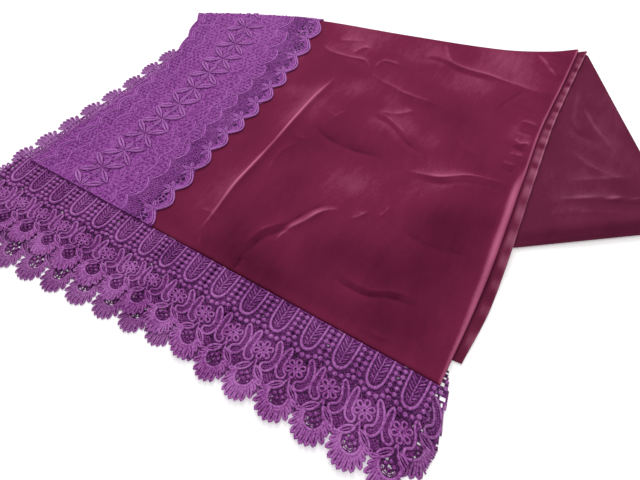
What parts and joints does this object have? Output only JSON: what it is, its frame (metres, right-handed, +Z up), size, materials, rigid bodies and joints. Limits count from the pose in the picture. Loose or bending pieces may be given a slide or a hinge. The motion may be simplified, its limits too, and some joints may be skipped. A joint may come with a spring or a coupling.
{
  "type": "evening stole, folded flat",
  "caption": "Folded velvet evening stole with deep guipure hem lace and a star galloon, lying flat.",
  "frame": {"origin": "centre of the bounding box, on the surface the stole lies on", "axes": "+X along the near hem towards the folded-under end, +Z up from the surface"},
  "size_m": [0.7272, 0.6392, 0.0155],
  "materials": {
    "velvet": "silk pile velvet with a soft sheen",
    "galloon": "rayon lace, satin thread",
    "guipure": "rayon guipure lace, satin cord"
  },
  "bodies": {
    "root": {"top_layer": "velvet", "second_layer": "velvet", "under_fold": "velvet", "star_galloon": "galloon", "guipure_trim_upper": "guipure", "guipure_trim_lower": "guipure", "left_edging": "guipure"}
  },
  "joints": []
}
